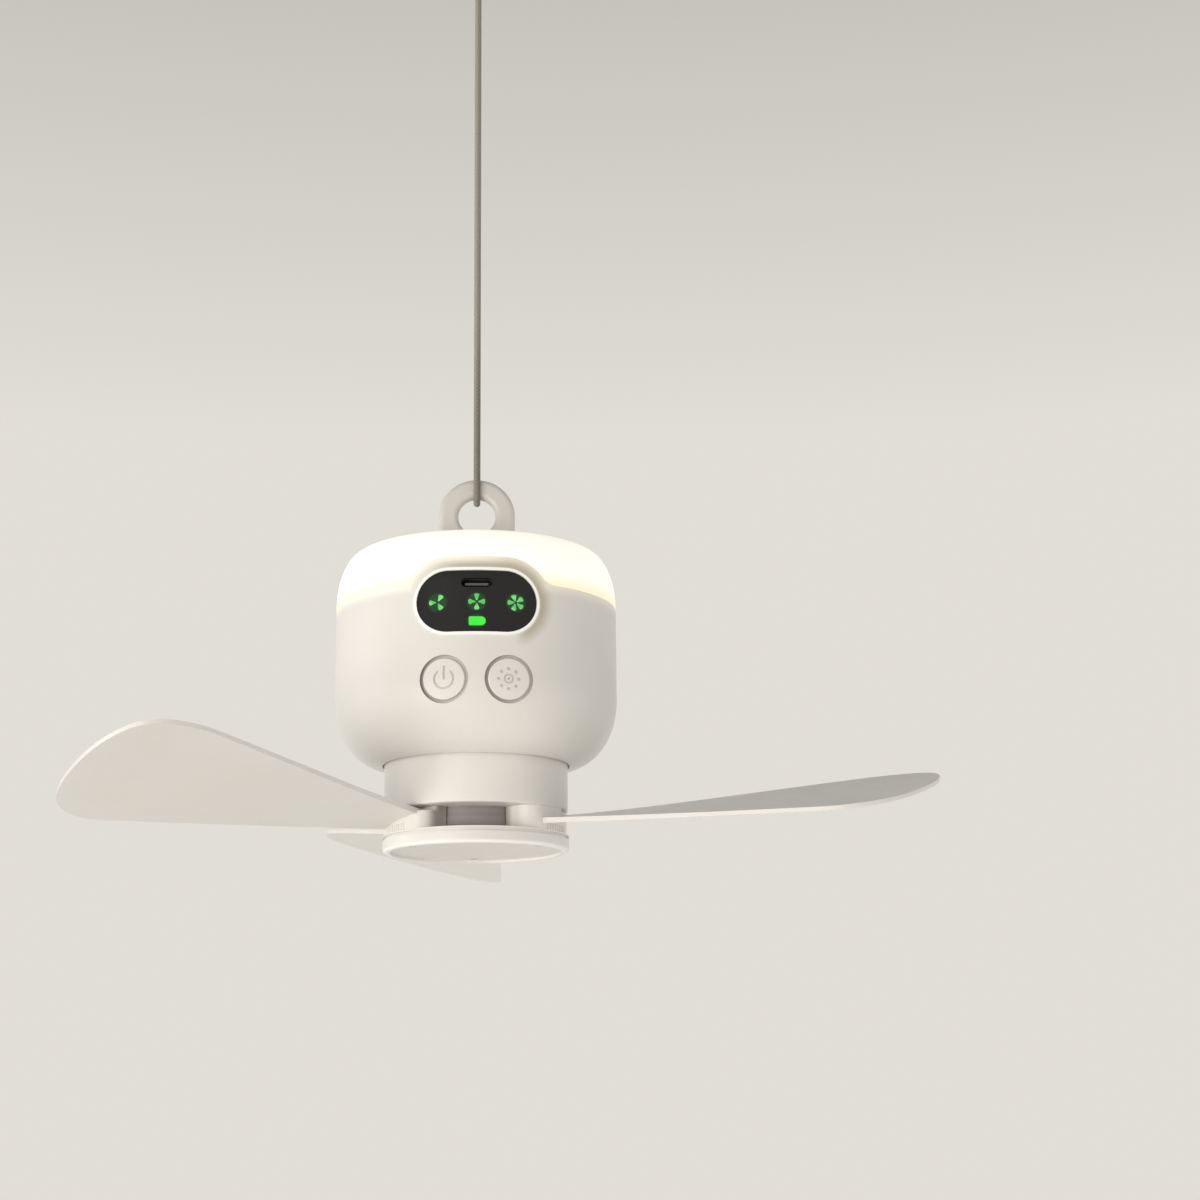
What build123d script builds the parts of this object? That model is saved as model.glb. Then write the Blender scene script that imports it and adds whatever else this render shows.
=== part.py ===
from build123d import *
import os
from math import asin, cos, degrees, pi, radians, sin, tan

# Portable camping fan with a lamp: a round body hung by a doubled cord, with a three-blade rotor
# below it. Millimetres, +Z up, the front with the display faces -Y. The origin is the middle of the
# eye at the top of the cord. Heights named below are counted from the seam between body and rotor.

# ---------------------------------------------------------------- driving dimensions
hang_drop = 274.5            # from the eye down to the seam between body and rotor

body_radius = 42.4
body_height = 64.3
wall = 2.0
lamp_wall = 1.8
bottom_round_height = 20.0
top_round_width = 7.5
top_round_height = 16.5
parting_height = 47.4        # where the lamp meets the housing
hood_margin = 4.5            # housing left round the display above the parting line
hood_fillet = 5.0
deck_thickness = 2.0
neck_recess = 2.0            # how far the rotor's neck runs up into the body

hub_radius = 27.4
hub_wall = 2.2
hub_floor = 2.0
neck_height = 14.1
neck_gap = 0.6               # radial running gap between neck and body
slot_height = 6.9            # between neck and bottom cap, where the blade roots sit
cap_height = 4.8
cap_overhang = 0.3           # cap radius is this much over the neck's
root_depth = 9.3             # from the hub's outside in to the core
core_wall = 3.1

blade_count = 3
blade_azimuth = 90.0         # degrees, of the rearward blade
leaf_turn = -0.9             # degrees from the root's middle to the leaf's axis
leaf_height = -16.8          # of the leaf's axis
leaf_droop = 0.025           # fall per millimetre of radius
leaf_reach = 140.0           # radius of the outermost section
leaf_pitch = 15.5            # degrees, there
leaf_twist = 11.9            # degrees from the axis to there, most of it near the root
leaf_thickness = 1.1         # at the tip
leaf_swelling = 0.9          # added to it towards the axis, in step with the twist
core_gap = 0.45              # between the core and the blade roots round it
window_angle = 27.4          # half angle of the opening between two blade roots, at its inner end
mouth_angle = 34.0           # and at its mouth
root_end_radius = 5.0
scoop_radius = 4.0
shelf_depth = 5.6            # how far a root is cut back above the leaf, beside the leaf's raised edge
shelf_start = 3.5            # from the leaf's axis
shelf_radius = 1.5
flute_count = 9              # shallow upright flutes in a root's outer wall, under the leaf
flute_radius = 0.35
flute_step = 2.6             # degrees from one to the next
flute_top = -19.0

display_width = 34.3
display_height = 17.8
display_level = 41.4
lens_thickness = 1.3
lens_recess = 0.1
lens_ledge = 1.3
bezel_width = 0.8
bezel_rise = 0.35
port_width = 9.0
port_height = 2.6
port_level = 46.75
port_shell = 0.35            # metal round the port's mouth, behind the window
icon_spacing = 11.3
battery_icon_level = 35.5

button_spacing = 18.4
button_level = 18.9
button_radius = 5.95
button_gap = 0.95
button_travel = 0.6
button_flange = 1.6
button_wall = 1.0            # thickness of the housing's wall round a button
button_skirt = 1.2           # thickness of the flange, with the gap behind that wall
engraving_depth = 0.3
switch_size = 6.0
switch_height = 3.5
switch_well = 2.0            # depth of the hole its plunger slides in
plunger_radius = 1.7
stem_radius = 2.2

ring_width = 23.4
ring_thickness = 4.4
ring_hole_radius = 5.7
ring_hole_rise = 13.4        # from the body's top up to the middle of the ring's hole
ring_edge = 1.7
ring_collar_radius = 13.0
ring_collar_height = 1.6
ring_stem_radius = 5.0
ring_screw_radius = 1.65

cord_radius = 1.05
cord_clearance = 0.1
fitting_level = 257.5        # lower end of the cord fitting
fitting_radius = 4.6
fitting_height = 11.0
strand_spacing = 4.4
socket_depth = 7.0
eye_radius = 4.25
eye_outer_radius = 7.4
eye_thickness = 4.4

motor_shaft_radius = 1.5
shaft_gap = 0.03             # radial, in the bearings
bearing_radius = 4.0
bearing_width = 4.0
bearing_race = 0.8
bearing_seal_depth = 0.3
tube_wall = 1.2
mount_radius = 12.0
mount_thickness = 1.5
mount_screw_circle = 9.0
rotor_wall = 7.0             # from the stator out to the hub's outside
stator_height = 6.0
stator_level = -9.5
slot_count = 9
tooth_width = 2.6
coil_depth = 1.5             # winding above and below the teeth
air_gap = 0.5
magnet_thickness = 2.5
magnet_overhang = 1.0        # magnet beyond the stator, above and below
yoke_thickness = 1.6
clip_thickness = 0.45

cell_radius = 9.2
cell_length = 65.0
cell_row_y = 1.5             # middle of the pair of cells
cell_gap = 0.6               # between the two cells
tray_low = 14.8
tray_wall = 1.2
tray_corner = 6.0

post_radius = 3.0
post_inset = 3.6             # from the housing's inner wall to the posts' middle
post_margin = 5.6            # from the cells to the posts' middle
frame_thickness = 1.5
frame_level = 48.0
frame_screw_radius = 1.15
led_count = 16
led_circle = 24.0

board_thickness = 1.2
control_board_depth = 10.0   # from the body's front face to the board's front face
control_board_width = 38.0
control_board_low = 13.0
control_board_high = 51.0

screw_radius = 0.95
cap_screw_inset = 5.3        # from the hub's outside
screw_head_radius = 1.7

# clearances
seat_gap = 0.05              # between pieces that are seated together
slide_gap = 0.15             # round pieces that are let into one another
loose_gap = 0.3              # between pieces that only lie near each other

# ---------------------------------------------------------------- worked out from them
inner_radius = body_radius - wall
opening_radius = hub_radius + neck_gap
bottom_round_width = body_radius - opening_radius
deck_low = neck_recess
deck_high = deck_low + deck_thickness
neck_top = neck_recess - neck_gap
slot_top = -neck_height
slot_low = slot_top - slot_height
cap_low = slot_low - cap_height
post_circle = inner_radius - post_inset
core_radius = hub_radius - root_depth
stator_radius = hub_radius - rotor_wall
cap_screw_circle = hub_radius - cap_screw_inset
ring_hole_level = body_height + ring_hole_rise
cell_spacing = 2 * cell_radius + cell_gap
cell_level = tray_low + tray_wall + 0.3 + cell_radius
cell_reach = cell_spacing / 2 + cell_radius
back_angle = degrees(asin((cell_reach + cell_row_y + post_margin) / post_circle))
front_angle = degrees(asin((cell_reach - cell_row_y + post_margin) / post_circle))
post_angles = [back_angle, 180 - back_angle, 180 + front_angle, 360 - front_angle]
bearing_tube_radius = bearing_radius + tube_wall
board_front = -(body_radius - control_board_depth)
board_back = board_front + board_thickness
lens_inset = lens_recess + lens_thickness
blade_angles = [blade_azimuth + turn * 360 / blade_count for turn in range(blade_count)]
root_inner_radius = core_radius + core_gap
mount_top = deck_high + mount_thickness
button_places = {"power": -button_spacing / 2, "light": button_spacing / 2}

# Sketches on this plane have X to the right and heights above the seam, seen from the front.
front = Plane((0, 0, -hang_drop), x_dir=(1, 0, 0), z_dir=(0, -1, 0))


def at(height):
    """Level plane at a height above the seam."""
    return Plane.XY.offset(height - hang_drop)


def disc(radius, low, high, places=((0, 0),), mode=Mode.ADD):
    """Upright cylinders between two heights."""
    with BuildSketch(at(low)) as section:
        with Locations(*places):
            Circle(radius)
    extrude(section.sketch, amount=high - low, mode=mode)


def slab(width, depth, low, high, middle=(0, 0), corner=0.0, mode=Mode.ADD):
    """Upright block between two heights, with rounded upright edges."""
    with BuildSketch(at(low)) as section:
        with Locations(middle):
            if corner > 0:
                RectangleRounded(width, depth, corner)
            else:
                Rectangle(width, depth)
    extrude(section.sketch, amount=high - low, mode=mode)


def around(radius, angles):
    """Points on a circle about Z."""
    return [(radius * cos(radians(a)), radius * sin(radians(a))) for a in angles]


def save(part, name):
    """Label a finished piece and write it."""
    part.label = name
    export_step(part, f"parts/{name}.step")


def body_outline(inset):
    """Half section of the body, moved inwards by an inset, from the axis to the axis."""
    radius = body_radius - inset
    floor_width = bottom_round_width - inset
    floor_height = bottom_round_height - inset
    roof_width = top_round_width - inset
    roof_height = top_round_height - inset
    roof = body_height - inset
    Line((0, inset), (radius - floor_width, inset))
    EllipticalCenterArc((radius - floor_width, inset + floor_height), floor_width, floor_height,
                        start_angle=270, arc_size=90)
    Line((radius, inset + floor_height), (radius, roof - roof_height))
    EllipticalCenterArc((radius - roof_width, roof - roof_height), roof_width, roof_height,
                        start_angle=0, arc_size=90)
    Polyline((radius - roof_width, roof), (0, roof), (0, inset))


def body_solid(inset):
    """The body's outside as a solid, moved inwards by an inset."""
    with BuildPart() as solid:
        with BuildSketch(front):
            with BuildLine():
                body_outline(inset)
            make_face()
        revolve(axis=Axis.Z)
    return solid.part


def housing_zone(grow):
    """Space under the parting line, with the hood that rises round the display."""
    half_width = body_radius + 5
    with BuildPart() as zone:
        with BuildSketch(front) as outline:
            with Locations((0, parting_height + grow)):
                Rectangle(2 * half_width, parting_height + 10, align=(Align.CENTER, Align.MAX))
            with Locations((0, display_level)):
                SlotOverall(display_width + 2 * (hood_margin + grow),
                            display_height + 2 * (hood_margin + grow))
            corners = [v for v in outline.vertices()
                       if abs(v.Y - parting_height - grow) < 0.01 and abs(v.X) < half_width - 1]
            fillet(corners, hood_fillet)
        extrude(amount=half_width)
        with BuildSketch(front):
            with Locations((0, parting_height + grow)):
                Rectangle(2 * half_width, parting_height + 10, align=(Align.CENTER, Align.MAX))
        extrude(amount=-half_width)
    return zone.part


def wall_patch(outline, deep, shallow):
    """Piece of the body's wall between two insets, cut to an outline on the front plane."""
    with BuildPart() as patch:
        with BuildSketch(front):
            outline()
        extrude(amount=body_radius - min(shallow, 0) + 1)
        add(body_solid(shallow), mode=Mode.INTERSECT)
        add(body_solid(deep), mode=Mode.SUBTRACT)
    return patch.part


def display_outline(grow):
    """Pill of the display, grown by a margin."""
    with Locations((0, display_level)):
        SlotOverall(display_width + 2 * grow, display_height + 2 * grow)


def port_outline(grow):
    """Slot of the charging port, grown by a margin."""
    with Locations((0, port_level)):
        SlotOverall(port_width + 2 * grow, port_height + 2 * grow)


def button_outline(place, radius):
    """Circle of a button, grown or not, on the front plane."""
    with Locations((place, button_level)):
        Circle(radius)


def bezel_outline():
    """Narrow frame round the display."""
    display_outline(slide_gap + bezel_width)
    with Locations((0, display_level)):
        SlotOverall(display_width + 2 * slide_gap, display_height + 2 * slide_gap, mode=Mode.SUBTRACT)


def power_symbol():
    """Open ring with a bar, about the sketch's origin."""
    Circle(3.0)
    Circle(2.4, mode=Mode.SUBTRACT)
    with Locations((0, 2.4)):
        Rectangle(3.4, 1.6, mode=Mode.SUBTRACT)
    with Locations((0, 1.8)):
        Rectangle(0.65, 3.9)


def light_symbol():
    """Ring with a dot in it and eight dots round it, about the sketch's origin."""
    Circle(1.45)
    Circle(0.9, mode=Mode.SUBTRACT)
    Circle(0.4)
    with PolarLocations(2.85, 8):
        Circle(0.48)


symbols = {"power": power_symbol, "light": light_symbol}

os.makedirs("parts", exist_ok=True)

# ---------------------------------------------------------------- lower housing
# A cup with the motor deck for its floor, four screw posts, two rails for the control board, and a
# hood at its front edge that carries the display.
rail_width = 2.6
rail_depth = 4.2
rail_grip = 0.6              # how far the board reaches into a rail
rail_middle = control_board_width / 2 - rail_grip + rail_width / 2
deck_screws = around(mount_screw_circle, (30, 150, 270))
frame_posts = around(post_circle, post_angles)
with BuildPart() as lower_housing:
    add(body_solid(0))
    add(body_solid(wall), mode=Mode.SUBTRACT)
    add(housing_zone(0), mode=Mode.INTERSECT)
    disc(opening_radius, 0, deck_low, mode=Mode.SUBTRACT)
    disc(opening_radius + 4.5, deck_low, deck_high)
    disc(post_radius, deck_low, frame_level - seat_gap, frame_posts)
    for side in (-1, 1):
        slab(rail_width, rail_depth, control_board_low, parting_height - 2,
             (side * rail_middle, board_front + board_thickness / 2))
    add(body_solid(0), mode=Mode.INTERSECT)
    slab(control_board_width + 2 * slide_gap, board_thickness + 2 * slide_gap, control_board_low - 1,
         parting_height, (0, board_front + board_thickness / 2), mode=Mode.SUBTRACT)
    disc(frame_screw_radius + seat_gap, frame_level - 12, frame_level, frame_posts,
         mode=Mode.SUBTRACT)
    disc(bearing_tube_radius + seat_gap, 0, deck_high + 1, mode=Mode.SUBTRACT)
    disc(screw_radius + seat_gap, 0, deck_high + 1, deck_screws, mode=Mode.SUBTRACT)
    add(wall_patch(bezel_outline, wall / 2, -bezel_rise))
    add(wall_patch(lambda: display_outline(slide_gap), lens_inset + seat_gap, -bezel_rise - 1),
        mode=Mode.SUBTRACT)
    add(wall_patch(lambda: display_outline(-lens_ledge), 2 * wall, -bezel_rise - 1), mode=Mode.SUBTRACT)
    for place in button_places.values():
        add(wall_patch(lambda: button_outline(place, button_radius + button_flange + loose_gap), 2 * wall,
                       button_wall), mode=Mode.SUBTRACT)
        with BuildSketch(front):
            button_outline(place, button_radius + button_gap)
        extrude(amount=body_radius + 5, mode=Mode.SUBTRACT)
save(lower_housing.part, "lower_housing")

# ---------------------------------------------------------------- lamp
# Glowing top: a domed diffuser that follows the housing's edge round the hood, with a skirt inside it.
skirt_height = 3.0
skirt_wall = 1.4
skirt_radius = inner_radius - slide_gap
with BuildPart() as lamp_diffuser:
    add(body_solid(0))
    add(body_solid(lamp_wall), mode=Mode.SUBTRACT)
    with BuildSketch(at(parting_height)):
        Circle(body_radius - lamp_wall / 2)
        Circle(skirt_radius - skirt_wall, mode=Mode.SUBTRACT)
    extrude(amount=2.0)
    add(housing_zone(slide_gap), mode=Mode.SUBTRACT)
    with BuildSketch(at(parting_height - skirt_height)):
        Circle(skirt_radius)
        Circle(skirt_radius - skirt_wall, mode=Mode.SUBTRACT)
        with Locations((0, -body_radius)):
            Rectangle(display_width + 6 * hood_margin, body_radius, mode=Mode.SUBTRACT)
    extrude(amount=skirt_height + slide_gap + 1)
    disc(post_radius + loose_gap, parting_height - skirt_height - 1, frame_level, frame_posts,
         mode=Mode.SUBTRACT)
    disc(ring_stem_radius + slide_gap, body_height - 5, body_height + 1, mode=Mode.SUBTRACT)
save(lamp_diffuser.part, "lamp_diffuser")

# White plate under the lamp, screwed to the posts; it carries the light board and the hanging ring.
frame_radius = skirt_radius - skirt_wall - loose_gap
frame_cut_y = board_back + 2.5
board_level = frame_level + frame_thickness
with BuildPart() as lamp_frame:
    with BuildSketch(at(frame_level)):
        Circle(frame_radius)
        with Locations((0, frame_cut_y)):
            Rectangle(3 * body_radius, body_radius, align=(Align.CENTER, Align.MAX), mode=Mode.SUBTRACT)
        with Locations(*frame_posts):
            Circle(frame_screw_radius + slide_gap, mode=Mode.SUBTRACT)
    extrude(amount=frame_thickness)
    disc(ring_stem_radius + 2.5, board_level, board_level + 4.5)
    disc(ring_stem_radius + slide_gap, board_level, board_level + 4.5, mode=Mode.SUBTRACT)
    disc(ring_screw_radius + slide_gap, frame_level, board_level, mode=Mode.SUBTRACT)
save(lamp_frame.part, "lamp_frame")

with BuildPart() as led_board:
    with BuildSketch(at(board_level)):
        Circle(frame_radius - 7)
        Circle(14, mode=Mode.SUBTRACT)
        with Locations((0, frame_cut_y)):
            Rectangle(3 * body_radius, body_radius, align=(Align.CENTER, Align.MAX), mode=Mode.SUBTRACT)
    extrude(amount=board_thickness)
save(led_board.part, "led_board")

with BuildPart() as lamp_leds:
    with BuildSketch(at(board_level + board_thickness)):
        with PolarLocations(led_circle, led_count, start_angle=180 / led_count):
            Rectangle(2.8, 3.5)
    extrude(amount=0.8)
save(lamp_leds.part, "lamp_leds")

with BuildPart() as frame_screws:
    disc(2 * frame_screw_radius, board_level, board_level + 1.4, frame_posts)
    disc(frame_screw_radius, frame_level - 8, board_level, frame_posts)
save(frame_screws.part, "frame_screws")

# ---------------------------------------------------------------- hanging ring
# Upright arch on a round collar; its stem runs down through the roof of the lamp to the frame.
ring_radius = ring_width / 2
with BuildPart() as hang_ring:
    with BuildSketch(front.offset(-ring_thickness / 2)):
        with Locations((0, ring_hole_level)):
            Circle(ring_radius)
        with Locations((0, body_height + ring_collar_height)):
            Rectangle(ring_width, ring_hole_level - body_height - ring_collar_height,
                      align=(Align.CENTER, Align.MIN))
        with Locations((0, ring_hole_level)):
            Circle(ring_hole_radius, mode=Mode.SUBTRACT)
    extrude(amount=ring_thickness)
    fillet(hang_ring.edges().filter_by(Plane.XZ), ring_edge)
    disc(ring_collar_radius, body_height + seat_gap, body_height + ring_collar_height + 0.5)
    chamfer(hang_ring.faces().sort_by(Axis.Z)[0].edges(), 0.3)
    disc(ring_stem_radius, board_level + seat_gap, body_height + 0.2)
    disc(ring_screw_radius + seat_gap, board_level, board_level + 10, mode=Mode.SUBTRACT)
save(hang_ring.part, "hang_ring")

with BuildPart() as ring_screw:
    disc(2 * ring_screw_radius, frame_level - 2.0, frame_level)
    disc(ring_screw_radius, frame_level, board_level + 8)
save(ring_screw.part, "ring_screw")

# ---------------------------------------------------------------- display
with BuildPart() as display_window:
    add(wall_patch(lambda: display_outline(0), lens_inset, lens_recess))
    add(wall_patch(lambda: port_outline(0), 2 * wall, -1), mode=Mode.SUBTRACT)
save(display_window.part, "display_window")

# Dark block between window and board that keeps the light of the icons apart.
icon_places = [(-icon_spacing, display_level), (0, display_level), (icon_spacing, display_level)]
with BuildPart() as light_baffle:
    with BuildSketch(front.offset(-board_front + 0.1)):
        display_outline(-lens_ledge - slide_gap - 0.8)
    extrude(amount=body_radius)
    with BuildSketch(at(0)):
        Circle(body_radius - lens_inset - slide_gap)
    extrude(amount=body_height, mode=Mode.INTERSECT)
    with BuildSketch(front):
        with Locations(*icon_places):
            Circle(3.2)
        with Locations((0, battery_icon_level)):
            Rectangle(6.4, 2.6)
        port_outline(port_shell + loose_gap)
    extrude(amount=body_radius, mode=Mode.SUBTRACT)
save(light_baffle.part, "light_baffle")

with BuildPart() as control_board:
    with BuildSketch(front.offset(-board_back)):
        with Locations((0, control_board_low)):
            Rectangle(control_board_width, control_board_high - control_board_low,
                      align=(Align.CENTER, Align.MIN))
    extrude(amount=board_thickness)
save(control_board.part, "control_board")

with BuildPart() as display_leds:
    with BuildSketch(front.offset(-board_front)):
        with Locations(*icon_places, (0, battery_icon_level)):
            Rectangle(1.6, 0.8)
    extrude(amount=0.7)
save(display_leds.part, "display_leds")

port_mouth = body_radius - lens_inset - 0.4
with BuildPart() as usb_port:
    with BuildSketch(front.offset(-board_front)):
        port_outline(port_shell)
    extrude(amount=port_mouth + board_front)
    with BuildSketch(front.offset(-board_front + 1.2)):
        port_outline(0)
    extrude(amount=body_radius, mode=Mode.SUBTRACT)
    with BuildSketch(front.offset(-board_front + 1.0)):
        with Locations((0, port_level)):
            Rectangle(6.7, 0.7)
    extrude(amount=port_mouth + board_front - 1.5)
save(usb_port.part, "usb_port")

# ---------------------------------------------------------------- buttons
# Each button follows the body's curve, is held by a flange behind the wall and presses a switch.
switch_face = board_front - switch_height
plunger_tip = switch_face - button_travel
plunger_end = switch_face + switch_well - button_travel - 0.2
button_low = button_wall + button_skirt     # how deep a button's inner face lies in the body's outside


def symbol_outline(name):
    """Symbol of a button at its place on the front plane."""
    with Locations((button_places[name], button_level)):
        symbols[name]()


for name, place in button_places.items():
    with BuildPart() as button:
        add(wall_patch(lambda: button_outline(place, button_radius), button_low, 0))
        fillet(button.faces().sort_by(Axis.Y)[0].edges(), 0.4)
        add(wall_patch(lambda: button_outline(place, button_radius + button_flange),
                       button_low, button_wall + slide_gap))
        with BuildSketch(front.offset(-plunger_tip)):
            button_outline(place, stem_radius)
        extrude(amount=body_radius - button_low + 0.6 + plunger_tip)
        add(wall_patch(lambda: symbol_outline(name), engraving_depth, -1), mode=Mode.SUBTRACT)
    save(button.part, f"{name}_button")

    with BuildPart() as switch:
        with BuildSketch(front.offset(-board_front)):
            with Locations((place, button_level)):
                Rectangle(switch_size, switch_size)
        extrude(amount=switch_height)
        with BuildSketch(front.offset(-switch_face - switch_well)):
            button_outline(place, plunger_radius + slide_gap)
        extrude(amount=switch_well, mode=Mode.SUBTRACT)
    save(switch.part, f"{name}_switch")

    with BuildPart() as plunger:
        with BuildSketch(front.offset(-plunger_end)):
            button_outline(place, plunger_radius)
        extrude(amount=plunger_end - plunger_tip)
    save(plunger.part, f"{name}_plunger")

# ---------------------------------------------------------------- battery and main board
tray_depth = cell_spacing + 2 * cell_radius + 2 * slide_gap
tray_length = cell_length + 2 * (tray_wall + 0.6)
cell_rows = [cell_row_y - cell_spacing / 2, cell_row_y + cell_spacing / 2]
board_rest = cell_level + cell_radius + 1.6
tray_feet = [(x, y) for x in (-20, 20) for y in (cell_row_y - 12, cell_row_y + 12)]
with BuildPart() as battery_tray:
    slab(tray_length, tray_depth, tray_low, tray_low + tray_wall, (0, cell_row_y), tray_corner)
    for side in (-1, 1):
        slab(tray_wall, tray_depth - 7, tray_low, board_rest,
             (side * (tray_length - tray_wall) / 2, cell_row_y))
    for edge in (-1, 1):
        slab(cell_length - 16, tray_wall, tray_low, tray_low + 7,
             (0, cell_row_y + edge * (tray_depth / 2 + tray_wall / 2 - 0.2)))
    slab(cell_length - 4, 1.4, tray_low, tray_low + 4, (0, cell_row_y))
    disc(3.0, deck_high, tray_low + 0.2, tray_feet)
save(battery_tray.part, "battery_tray")

for number, row in enumerate(cell_rows, 1):
    with BuildPart() as battery_cell:
        with BuildSketch(Plane.YZ.offset(-cell_length / 2)):
            with Locations((row, cell_level - hang_drop)):
                Circle(cell_radius)
        extrude(amount=cell_length - 1.2)
        fillet(battery_cell.edges().filter_by(GeomType.CIRCLE), 0.8)
        with BuildSketch(Plane.YZ.offset(cell_length / 2 - 1.4)):
            with Locations((row, cell_level - hang_drop)):
                Circle(2.8)
        extrude(amount=1.4)
    save(battery_cell.part, f"battery_cell_{number}")

contact_height = 12.0
contact_thickness = 0.4
contact_middle = cell_length / 2 + contact_thickness / 2 + 0.1
with BuildPart() as cell_contacts:
    for side in (-1, 1):
        for row in cell_rows:
            slab(contact_thickness, 8.0, cell_level - contact_height / 2,
                 cell_level + contact_height / 2, (side * contact_middle, row))
save(cell_contacts.part, "cell_contacts")

with BuildPart() as main_board:
    slab(tray_length, tray_depth - 7, board_rest, board_rest + board_thickness, (0, cell_row_y), 2.0)
save(main_board.part, "main_board")

board_top = board_rest + board_thickness
with BuildPart() as board_parts:
    slab(7.0, 7.0, board_top, board_top + 4.0, (-18, cell_row_y + 4), 1.2)
    slab(5.0, 5.0, board_top, board_top + 1.2, (-6, cell_row_y - 5))
    slab(6.2, 5.0, board_top, board_top + 1.6, (6, cell_row_y + 5))
    slab(8.0, 6.0, board_top, board_top + 5.5, (24, cell_row_y + 6))
    slab(6.0, 4.5, board_top, board_top + 5.5, (22, cell_row_y - 8))
    disc(3.0, board_top, board_top + 6.0, [(12, cell_row_y - 5)])
save(board_parts.part, "board_parts")

# ---------------------------------------------------------------- motor, standing part
# The mount's tube hangs from the deck into the rotor's cup and carries both bearings and the stator.
tube_low = slot_top + hub_floor + neck_gap
tube_bore = motor_shaft_radius + 0.6
with BuildPart() as motor_mount:
    disc(mount_radius, deck_high, mount_top)
    disc(bearing_tube_radius, tube_low, mount_top)
    disc(tube_bore, tube_low, mount_top, mode=Mode.SUBTRACT)
    disc(bearing_radius, mount_top - bearing_width, mount_top, mode=Mode.SUBTRACT)
    disc(bearing_radius, tube_low, tube_low + bearing_width, mode=Mode.SUBTRACT)
    disc(screw_radius + seat_gap, deck_high, mount_top, deck_screws, mode=Mode.SUBTRACT)
save(motor_mount.part, "motor_mount")

with BuildPart() as mount_screws:
    disc(screw_head_radius, mount_top, mount_top + 1.1, deck_screws)
    disc(screw_radius, deck_low + 0.2, mount_top, deck_screws)
save(mount_screws.part, "mount_screws")

for name, low in {"upper": mount_top - bearing_width, "lower": tube_low}.items():
    with BuildPart() as bearing:
        disc(bearing_radius, low, low + bearing_width)
        for end in (low, low + bearing_width - bearing_seal_depth):
            disc(bearing_radius - bearing_race, end, end + bearing_seal_depth, mode=Mode.SUBTRACT)
            disc(motor_shaft_radius + bearing_race, end, end + bearing_seal_depth)
        disc(motor_shaft_radius + shaft_gap, low, low + bearing_width, mode=Mode.SUBTRACT)
    save(bearing.part, f"{name}_bearing")

tooth_root = bearing_tube_radius + tooth_width
shoe_radius = stator_radius - 1.8
shoe_half_angle = 0.8 * 180 / slot_count
with BuildPart() as stator_core:
    with BuildSketch(at(stator_level)):
        Circle(tooth_root)
        with PolarLocations((tooth_root + shoe_radius) / 2, slot_count):
            Rectangle(shoe_radius - tooth_root + 2.5, tooth_width)
        with PolarLocations(0, slot_count):
            with BuildLine():
                shoe_in = CenterArc((0, 0), shoe_radius, -shoe_half_angle, 2 * shoe_half_angle)
                shoe_out = CenterArc((0, 0), stator_radius, -shoe_half_angle, 2 * shoe_half_angle)
                Line(shoe_in @ 0, shoe_out @ 0)
                Line(shoe_in @ 1, shoe_out @ 1)
            make_face()
        Circle(bearing_tube_radius + seat_gap, mode=Mode.SUBTRACT)
    extrude(amount=stator_height)
save(stator_core.part, "stator_core")

coil_length = shoe_radius - tooth_root - 0.8
coil_middle = (shoe_radius + tooth_root) / 2
coil_thickness = 1.5
with BuildPart() as stator_coils:
    with BuildSketch(at(stator_level - coil_depth)):
        with PolarLocations(coil_middle, slot_count):
            Rectangle(coil_length, tooth_width + 2 * coil_thickness)
    extrude(amount=stator_height + 2 * coil_depth)
    with BuildSketch(at(stator_level - seat_gap)):
        with PolarLocations(coil_middle, slot_count):
            Rectangle(coil_length + 1, tooth_width + 2 * seat_gap)
    extrude(amount=stator_height + 2 * seat_gap, mode=Mode.SUBTRACT)
save(stator_coils.part, "stator_coils")

driver_board_top = deck_low - 2.0
with BuildPart() as driver_board:
    disc(stator_radius - 1.5, driver_board_top - 1.0, driver_board_top)
    disc(bearing_tube_radius + seat_gap, driver_board_top - 1.0, driver_board_top, mode=Mode.SUBTRACT)
    disc(1.6, driver_board_top, deck_low, around(stator_radius - 5, (90, 210, 330)))
save(driver_board.part, "driver_board")

# ---------------------------------------------------------------- rotor
def shelf_outline(azimuth):
    """Plan of the shelf at the outside of a blade's root, beside the leaf's raised edge."""
    with BuildSketch(mode=Mode.PRIVATE) as shelf:
        Circle(hub_radius + 1)
        Circle(hub_radius - shelf_depth, mode=Mode.SUBTRACT)
        with Locations((0, shelf_start)):
            Rectangle(2 * hub_radius, hub_radius, align=(Align.MIN, Align.MIN), mode=Mode.INTERSECT)
        corners = [v for v in shelf.vertices() if v.X > 1 and v.X ** 2 + v.Y ** 2 < hub_radius ** 2]
        fillet(corners, shelf_radius)
    add(shelf.sketch, rotation=azimuth)


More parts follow.
